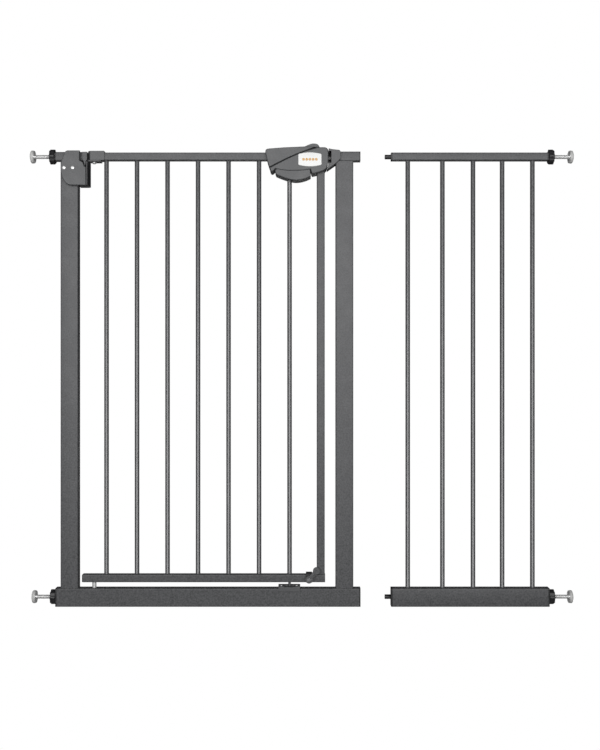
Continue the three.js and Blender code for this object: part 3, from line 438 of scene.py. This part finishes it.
def square_section(bm, width, height, corner):
    """The flat outline of a rounded tube, as a single face."""
    made = bmesh.ops.create_grid(bm, x_segments=1, y_segments=1, size=0.5)
    bmesh.ops.scale(bm, vec=(width, height, 1), verts=made["verts"])
    bmesh.ops.bevel(
        bm, geom=bm.verts[:], offset=corner, segments=5, profile=0.5, affect="VERTICES", material=-1
    )
    return next(iter(bm.faces))


def square_tube(node, along):
    """The rounded tube that a rail, upright or stub is drawn from, in place of its plain solid."""
    low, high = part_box(node)
    middle = (low + high) / 2
    size = high - low
    bm = bmesh.new()
    width = size.x if along == "z" else size.y
    height = size.y if along == "z" else size.z
    length = size.z if along == "z" else size.x
    face = square_section(bm, width, height, TUBE_CORNER * MM)
    hollow(bm, face, TUBE_WALL * MM, length)
    if along == "z":
        matrix = Matrix.Translation((middle.x, middle.y, low.z))
    else:
        lie = Matrix(((0, 0, 1, 0), (1, 0, 0, 0), (0, 1, 0, 0), (0, 0, 0, 1)))
        matrix = Matrix.Translation((low.x, middle.y, middle.z)) @ lie
    bmesh.ops.transform(bm, matrix=matrix, verts=bm.verts[:])
    piece = put(bm, node + "_tube", POWDER_COAT, BODY_OF[node])
    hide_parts(node)
    return piece


def spun(bm, profile, steps=40):
    """Turns a profile of (radius, height) points about Z, in millimetres."""
    verts = [bm.verts.new((radius * MM, 0, height * MM)) for radius, height in profile]
    edges = [bm.edges.new(pair) for pair in zip(verts, verts[1:])]
    bmesh.ops.spin(
        bm,
        geom=verts + edges,
        cent=(0, 0, 0),
        axis=(0, 0, 1),
        angle=math.tau,
        steps=steps,
        use_merge=True,
        use_duplicate=False,
    )
    bmesh.ops.remove_doubles(bm, verts=bm.verts[:], dist=2e-6)


def turned_piece(name, profile, origin, axis, material, body, steps=40):
    bm = bmesh.new()
    spun(bm, profile, steps)
    move_to(bm, origin, axis)
    return put(bm, name, material, body)


def rod_piece(node, radius):
    """A round rod with the small weld fillet at each end."""
    low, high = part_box(node)
    middle = (low + high) / 2
    length = (high.z - low.z) / MM
    leg = WELD_LEG
    bore = radius - ROD_WALL
    foot = [(bore, 0), (radius + leg, 0), (radius + leg * 0.4, leg * 0.4), (radius, leg)]
    head = [(r, length - h) for r, h in reversed(foot)]
    profile = foot + head + foot[:1]
    origin = (middle.x, middle.y, low.z)
    piece = turned_piece(
        node + "_bar", profile, origin, (0, 0, 1), ROD_COAT, BODY_OF[node], ROD_STEPS
    )
    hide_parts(node)
    return piece


def softened(node, material, crease=32.0):
    """A merged copy of a moulding, its curves shaded smooth while its flats stay flat."""
    bm = bmesh.new()
    bm.from_mesh(frame["nodes"][node].data)
    bmesh.ops.remove_doubles(bm, verts=bm.verts[:], dist=2e-6)
    bmesh.ops.dissolve_limit(
        bm,
        angle_limit=math.radians(FLAT_ANGLE),
        use_dissolve_boundaries=False,
        verts=bm.verts[:],
        edges=bm.edges[:],
    )
    piece = put(bm, node + "_moulding", material, BODY_OF[node], crease)
    flats = piece.modifiers.new("flats", "WEIGHTED_NORMAL")
    flats.mode = "FACE_AREA"
    flats.weight = 100
    flats.keep_sharp = True
    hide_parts(node)
    return piece


# ---- Tubes and rods ----

for rail in ("top_left_stub", "top_right_stub", "panel_top_rail", "panel_bottom_rail"):
    square_tube(rail, "x")
for post in ("frame_left_upright", "frame_right_upright", "door_stile"):
    square_tube(post, "z")

rod_low, rod_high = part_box("door_rod_1")
rod_radius = (rod_high.y - rod_low.y) / 2 / MM
for index in range(1, 7):
    rod_piece(f"door_rod_{index}", rod_radius)
for index in range(1, 6):
    rod_piece(f"panel_rod_{index}", rod_radius)


def catch_rod():
    """The last door rod, which carries the pin that drops into the catch."""
    node = "door_rod_7"
    low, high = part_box(node)
    middle = (low + high) / 2
    length = (high.z - low.z) / MM
    foot = (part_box("door_rod_1")[0].z - low.z) / MM
    bore = rod_radius - ROD_WALL
    profile = [
        (0, 0),
        (2.4, 0),
        (3, 0.6),
        (3, foot),
        (rod_radius + WELD_LEG, foot),
        (rod_radius + WELD_LEG * 0.4, foot + WELD_LEG * 0.4),
        (rod_radius, foot + WELD_LEG),
        (rod_radius, length),
        (bore, length),
        (bore, foot + 8),
        (0, foot + 8),
    ]
    origin = (middle.x, middle.y, low.z)
    piece = turned_piece(node + "_bar", profile, origin, (0, 0, 1), ROD_COAT, "door", ROD_STEPS)
    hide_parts(node)


catch_rod()


# ---- Mouldings and fittings ----

MOULDINGS = {
    "paint": ["hinge_bracket"],
    "plastic": [
        "latch_keeper", "hinge_cover", "hinge_collar", "handle_wing", "handle_front_shell",
        "handle_rear_shell", "grip_trigger", "bottom_catch", "stop_lever", "thumb_slider",
    ],
    "dark_plastic": [
        "end_plug_top_left", "end_plug_bottom_left", "end_plug_top_right", "end_plug_bottom_right",
        "hinge_housing", "pivot_bush", "stop_saddle",
        "latch_bolt", "panel_pin_top", "panel_pin_bottom", "panel_plug_top", "panel_plug_bottom",
        "hand_nut_top_left", "hand_nut_bottom_left", "hand_nut_top_right", "hand_nut_bottom_right",
    ],
    "zinc": ["hinge_rivet_left", "hinge_rivet_right", "top_hinge_pin", "bottom_hinge_pin"],
}
for finish, names in MOULDINGS.items():
    for name in names:
        softened(name, FINISHES[finish])
softened("stop_pin", SPRING_STEEL)

# These rails keep their holes for the pins and the slot for the slider.
for rail in ("frame_bottom_rail", "door_top_rail", "door_bottom_rail"):
    softened(rail, POWDER_COAT, crease=50.0)

for name in ("closing_spring", "latch_spring"):
    spring = frame["nodes"][name]
    spring.data.materials.clear()
    spring.data.materials.append(SPRING_STEEL)


# ---- Wall fixings ----


def thread(bm, radius, start, end):
    """A V-shaped ridge wound round the shank, in millimetres along +Z."""
    half = THREAD_PITCH * 0.42
    turns = int((end - start) / THREAD_PITCH)
    profile = ((radius - THREAD_DEPTH - 0.1, -half), (radius, 0), (radius - THREAD_DEPTH - 0.1, half))
    verts = [bm.verts.new((r * MM, 0, (start + half + h) * MM)) for r, h in profile]
    edges = [bm.edges.new(pair) for pair in zip(verts, verts[1:])]
    steps = 20
    bmesh.ops.spin(
        bm,
        geom=verts + edges,
        cent=(0, 0, 0),
        axis=(0, 0, 1),
        dvec=(0, 0, THREAD_PITCH * MM / steps),
        angle=math.tau * turns,
        steps=steps * turns,
        use_merge=False,
        use_duplicate=False,
    )


def wall_spindle(corner, outward):
    """Shank with its wound thread, dished steel pad and the pad's pale facing."""
    node = "spindle_" + corner
    low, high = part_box(node)
    middle = (low + high) / 2
    length = (high.x - low.x) / MM
    rim = (high.z - low.z) / 2 / MM
    inner = low.x if outward > 0 else high.x
    origin = (inner, middle.y, middle.z)
    axis = (outward, 0, 0)
    neck = length - PAD_ROOT
    root = SHANK_RADIUS - THREAD_DEPTH
    steel = [
        (0, 0), (root - 0.9, 0), (root, 0.9), (root, neck),
        (SHANK_RADIUS, neck + 0.8), (SHANK_RADIUS, length - 7.6), (SHANK_RADIUS + 0.5, length - 6.7),
        (SHANK_RADIUS + 1.6, length - 6.1), (rim - 5.5, length - 6.0),
        (rim - 3.4, length - 6.6), (rim - 2.2, length - 8.2), (rim - 1.5, length - 9.1),
        (rim - 0.9, length - 9.2), (rim - 0.6, length - 8.6), (rim - 0.9, length - 7.2),
        (rim - 1.8, length - 5.0), (rim - 2.6, length - 3.6), (rim - 4.0, length - 3.0), (0, length - 3.0),
    ]
    bm = bmesh.new()
    spun(bm, steel, 48)
    thread(bm, SHANK_RADIUS, 1.2, neck)
    move_to(bm, origin, axis)
    piece = put(bm, node + "_steel", ZINC_PLATE, node, 30)
    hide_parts(node)
    facing = [
        (0, length - 2.9), (rim - 3.9, length - 2.9), (rim - 2.5, length - 3.6), (rim - 1.7, length - 5.0),
        (rim - 0.8, length - 7.2), (rim - 0.4, length - 7.3), (rim, length - 6.2), (rim, length - 3.4),
        (rim - 0.4, length - 2.2), (rim - 1.4, length - 1.2), (rim - 3.6, length - 0.6),
        (rim - 4.6, length - 0.1), (rim - 5.4, length), (0, length),
    ]
    turned_piece(node + "_facing", facing, origin, axis, PALE_RUBBER, node, 48)


for corner, outward in (("top_left", -1), ("bottom_left", -1), ("top_right", 1), ("bottom_right", 1)):
    wall_spindle(corner, outward)


# ---- Label, screws and welds ----


def outline_face(bm, points, depth):
    """A flat outline in X and Z, in metres, at a depth Y."""
    verts = [bm.verts.new((x, depth, z)) for x, z in points]
    return bm.faces.new(verts)


def thicken(bm, face, amount, rim, segments=3):
    """Draws a face along Y and rounds the rim of its front."""
    drawn = bmesh.ops.extrude_face_region(bm, geom=[face])
    moved = [item for item in drawn["geom"] if isinstance(item, bmesh.types.BMVert)]
    bmesh.ops.translate(bm, vec=(0, amount, 0), verts=moved)
    front = next(item for item in drawn["geom"] if isinstance(item, bmesh.types.BMFace))
    bmesh.ops.bevel(
        bm, geom=list(front.edges), offset=rim, segments=segments, profile=0.5, affect="EDGES", material=-1
    )


def label_outline(width, height, bow, corner):
    """Straight sides, top and bottom edges that bow outwards, rounded corners."""
    steps = 12
    centre_x = width / 2 - corner
    centre_z = height / 2 - corner
    top = []
    for index in range(steps + 1):
        across = -1 + 2 * index / steps
        top.append((across * centre_x, height / 2 + bow * (1 - across * across)))
    quarter = [math.radians(angle) for angle in (67.5, 45, 22.5, 0)]
    right = [(centre_x + corner * math.cos(a), centre_z + corner * math.sin(a)) for a in quarter]
    left = [(-x, z) for x, z in reversed(right)]
    half = left + top + right
    return half + [(-x, -z) for x, z in half]


def top_axis():
    """The height of the door's top rail at its middle."""
    low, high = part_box("door_top_rail")
    return (low.z + high.z) / 2


def label():
    """A plain white badge with a row of tan dots; it bears no mark of any maker."""
    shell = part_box("handle_front_shell")
    centre_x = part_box("latch_keeper")[0].x + LABEL_FROM_KEEPER * MM
    centre_z = top_axis() + LABEL_FROM_AXIS * MM
    bm = bmesh.new()
    width, height = LABEL_SIZE
    outline = label_outline(width * MM, height * MM, LABEL_BOW * MM, LABEL_CORNER * MM)
    points = [(centre_x + x, centre_z + z) for x, z in outline]
    face = outline_face(bm, points, shell[0].y + 0.2 * MM)
    thicken(bm, face, -LABEL_DEPTH * MM, LABEL_RIM * MM)
    put(bm, "handle_label", LABEL_FILM, "door", 40)
    stand_up = Matrix.Rotation(math.pi / 2, 3, "X")
    for index in range(DOT_COUNT):
        dot = bmesh.new()
        across = (index - (DOT_COUNT - 1) / 2) * DOT_PITCH * MM
        place = (centre_x + across, shell[0].y - 0.5 * MM, centre_z)
        ring = bmesh.ops.create_circle(dot, cap_ends=True, segments=28, radius=DOT_RADIUS * MM)
        bmesh.ops.rotate(dot, cent=(0, 0, 0), matrix=stand_up, verts=ring["verts"])
        bmesh.ops.translate(dot, vec=place, verts=dot.verts[:])
        thicken(dot, next(iter(dot.faces)), -0.16 * MM, 0.06 * MM, 2)
        put(dot, f"label_dot_{index + 1}", TAN_INK, "door", 40)


def cross_screw(name, place, axis, radius, body):
    """A pan-head screw with a cross recess, its head's underside at the place given."""
    rise = radius * 0.55
    bm = bmesh.new()
    shoulder = [(radius, rise * 0.45), (radius * 0.86, rise * 0.8), (radius * 0.55, rise)]
    head = [(0, 0), (radius, 0), *shoulder, (0, rise)]
    spun(bm, head, 28)
    move_to(bm, place, axis)
    put(bm, name, ZINC_PLATE, body, 40)
    slot_bm = bmesh.new()
    for turned in (0, math.pi / 2):
        bar = bmesh.ops.create_grid(slot_bm, x_segments=1, y_segments=1, size=0.5)
        bmesh.ops.scale(slot_bm, vec=(radius * 0.95 * MM, radius * 0.2 * MM, 1), verts=bar["verts"])
        spin = Matrix.Rotation(turned, 3, "Z")
        bmesh.ops.rotate(slot_bm, cent=(0, 0, 0), matrix=spin, verts=bar["verts"])
        bmesh.ops.translate(slot_bm, vec=(0, 0, (rise - 0.2) * MM), verts=bar["verts"])
        bar_faces = list({face for vert in bar["verts"] for face in vert.link_faces})
        drawn = bmesh.ops.extrude_face_region(slot_bm, geom=bar_faces)
        moved = [item for item in drawn["geom"] if isinstance(item, bmesh.types.BMVert)]
        bmesh.ops.translate(slot_bm, vec=(0, 0, 0.24 * MM), verts=moved)
    move_to(slot_bm, place, axis)
    put(slot_bm, name + "_recess", BLACK_MOULDING, body, 40)


def rear_screws():
    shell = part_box("handle_rear_shell")
    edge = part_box("top_right_stub")[0].x
    for index, (x, z) in enumerate(REAR_SCREWS):
        place = (edge + x * MM, shell[1].y - SCREW_RECESS * MM, top_axis() + z * MM)
        cross_screw(f"handle_screw_{index + 1}", place, (0, 1, 0), 2.4, "door")


def catch_screws():
    low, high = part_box("bottom_catch")
    left, right, depth = CATCH_SCREWS
    for index, x in enumerate((low.x + left * MM, high.x - right * MM)):
        cross_screw(f"catch_screw_{index + 1}", (x, depth * MM, high.z), (0, 0, 1), 2.6, "frame")


def weld_bead(name, start, end, radius, body):
    """A row of overlapping puddles, as a hand weld leaves."""
    run = Vector(end) - Vector(start)
    count = max(4, round(run.length / (1.5 * MM)))
    profile = [(0, 0)]
    pitch = run.length / count / MM
    for index in range(count):
        base = index * pitch
        for share, swell in ((0.15, 0.82), (0.5, 1.0), (0.85, 0.82)):
            profile.append((radius * swell, base + share * pitch))
    profile.append((0, count * pitch))
    bm = bmesh.new()
    spun(bm, profile, 8)
    move_to(bm, start, run)
    put(bm, name, POWDER_COAT, body, 60)


def post_welds():
    """Beads along the front, back, outer and inner foot of each upright."""
    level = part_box("frame_bottom_rail")[1].z + 0.1 * MM
    step = 3 * MM
    for side in ("left", "right"):
        low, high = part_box(f"frame_{side}_upright")
        for face, y in (("front", low.y), ("back", high.y)):
            ends = [(low.x + step, y * WELD_SINK, level), (high.x - step, y * WELD_SINK, level)]
            weld_bead(f"weld_{side}_foot_{face}", *ends, WELD_RADIUS, "frame")
        outer, inner = (low.x, high.x) if side == "left" else (high.x, low.x)
        for face, x in (("outer", outer), ("inner", inner)):
            inset = 0.2 * MM if x == high.x else -0.2 * MM
            ends = [(x - inset, low.y + step, level), (x - inset, high.y - step, level)]
            weld_bead(f"weld_{side}_foot_{face}", *ends, WELD_RADIUS, "frame")


def rail_cap():
    """The domed cap in the hinge end of the door's bottom rail."""
    low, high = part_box("door_bottom_rail")
    middle = (low + high) / 2
    bm = bmesh.new()
    face = square_section(bm, high.y - low.y, high.z - low.z, TUBE_CORNER * MM)
    drawn = bmesh.ops.extrude_face_region(bm, geom=[face])
    moved = [item for item in drawn["geom"] if isinstance(item, bmesh.types.BMVert)]
    bmesh.ops.translate(bm, vec=(0, 0, 2.4 * MM), verts=moved)
    top = next(item for item in drawn["geom"] if isinstance(item, bmesh.types.BMFace))
    bmesh.ops.bevel(
        bm, geom=list(top.edges), offset=2.2 * MM, segments=4, profile=0.5, affect="EDGES", material=-1
    )
    lie = Matrix(((0, 0, -1, 0), (1, 0, 0, 0), (0, 1, 0, 0), (0, 0, 0, 1)))
    place = Matrix.Translation((low.x - 0.05 * MM, middle.y, middle.z))
    bmesh.ops.transform(bm, matrix=place @ lie, verts=bm.verts[:])
    put(bm, "door_rail_cap", BLACK_MOULDING, "door", 40)


def keeper_shade_plate():
    """A black plate at the back of the keeper's mouth: painted shade standing in for the shadow inside the
    mouth.
    """
    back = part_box("latch_keeper")[1].y
    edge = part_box("top_right_stub")[0].x
    bm = bmesh.new()
    left, right = (edge + x * MM for x in SHADE_PLATE_ACROSS)
    bottom, top = (top_axis() + z * MM for z in SHADE_PLATE_UP)
    points = [(left, bottom), (right, bottom), (right, top), (left, top)]
    face = outline_face(bm, points, back - 3.1 * MM)
    thicken(bm, face, -1.2 * MM, 0.3 * MM)
    # painted shade: a black sheet that darkens the keeper's mouth where shadow falls
    put(bm, "keeper_shade_plate", BLACK_MOULDING, "frame", 40)


label()
rear_screws()
catch_screws()
post_welds()
rail_cap()
keeper_shade_plate()


# ---- Stage, lights and camera ----

BACKDROP = 1.0
CAMERA_LENS = 50.9
CAMERA_PLACE = (-0.0041, -2.4125, 0.5252)


def make_stage():
    bm = bmesh.new()
    bmesh.ops.create_grid(bm, x_segments=1, y_segments=1, size=30)
    mesh = bpy.data.meshes.new("floor")
    bm.to_mesh(mesh)
    bm.free()
    floor = bpy.data.objects.new("floor", mesh)
    floor.location.z = -0.0005
    bpy.context.scene.collection.objects.link(floor)
    material = bpy.data.materials.new("pale_floor")
    material.use_nodes = True
    tree = material.node_tree
    surface = tree.nodes["Principled BSDF"]
    surface.inputs["Base Color"].default_value = (0.3, 0.3, 0.3, 1)
    surface.inputs["Roughness"].default_value = 0.9
    surface.inputs["Specular IOR Level"].default_value = 0.1
    glow = add_node(tree, "ShaderNodeEmission", values={"Color": (1, 1, 1, 1), "Strength": BACKDROP})
    rays = add_node(tree, "ShaderNodeLightPath")
    seen = add_node(tree, "ShaderNodeMixShader")
    tree.links.new(rays.outputs["Is Camera Ray"], seen.inputs[0])
    tree.links.new(surface.outputs[0], seen.inputs[1])
    tree.links.new(glow.outputs[0], seen.inputs[2])
    tree.links.new(seen.outputs[0], tree.nodes["Material Output"].inputs["Surface"])
    mesh.materials.append(material)


def make_world():
    world = bpy.data.worlds.new("studio")
    bpy.context.scene.world = world
    world.use_nodes = True
    tree = world.node_tree
    tree.nodes.clear()
    end = tree.nodes.new("ShaderNodeOutputWorld")
    room = add_node(tree, "ShaderNodeBackground", values={"Color": (0.96, 0.98, 1.0, 1), "Strength": 0.035})
    backdrop = add_node(tree, "ShaderNodeBackground", values={"Color": (1, 1, 1, 1), "Strength": BACKDROP})
    rays = add_node(tree, "ShaderNodeLightPath")
    mix = add_node(tree, "ShaderNodeMixShader")
    tree.links.new(rays.outputs["Is Camera Ray"], mix.inputs[0])
    tree.links.new(room.outputs[0], mix.inputs[1])
    tree.links.new(backdrop.outputs[0], mix.inputs[2])
    tree.links.new(mix.outputs[0], end.inputs["Surface"])


def soft_light(name, place, aim, size, power, mirrored=True):
    data = bpy.data.lights.new(name, "AREA")
    data.shape = "RECTANGLE"
    data.size, data.size_y = size
    data.energy = power
    light = bpy.data.objects.new(name, data)
    light.location = place
    light.rotation_euler = (Vector(aim) - Vector(place)).to_track_quat("-Z", "Y").to_euler()
    light.visible_glossy = mirrored
    light.visible_camera = False
    bpy.context.scene.collection.objects.link(light)


def make_camera():
    data = bpy.data.cameras.new("camera")
    data.sensor_width = 36
    data.lens = CAMERA_LENS
    camera = bpy.data.objects.new("camera", data)
    camera.location = CAMERA_PLACE
    camera.rotation_euler = (math.pi / 2, 0, 0)
    bpy.context.scene.collection.objects.link(camera)
    bpy.context.scene.camera = camera


make_stage()
make_world()
soft_light("key", (-0.15, -3.1, 1.2), (-0.15, 0, 1.2), (4.2, 2.2), 112)
soft_light("rear", (0.0, 6.0, 1.2), (0, 0, 0.5), (1.0, 1.0), 200, False)
make_camera()
bpy.context.scene.view_settings.view_transform = "Standard"
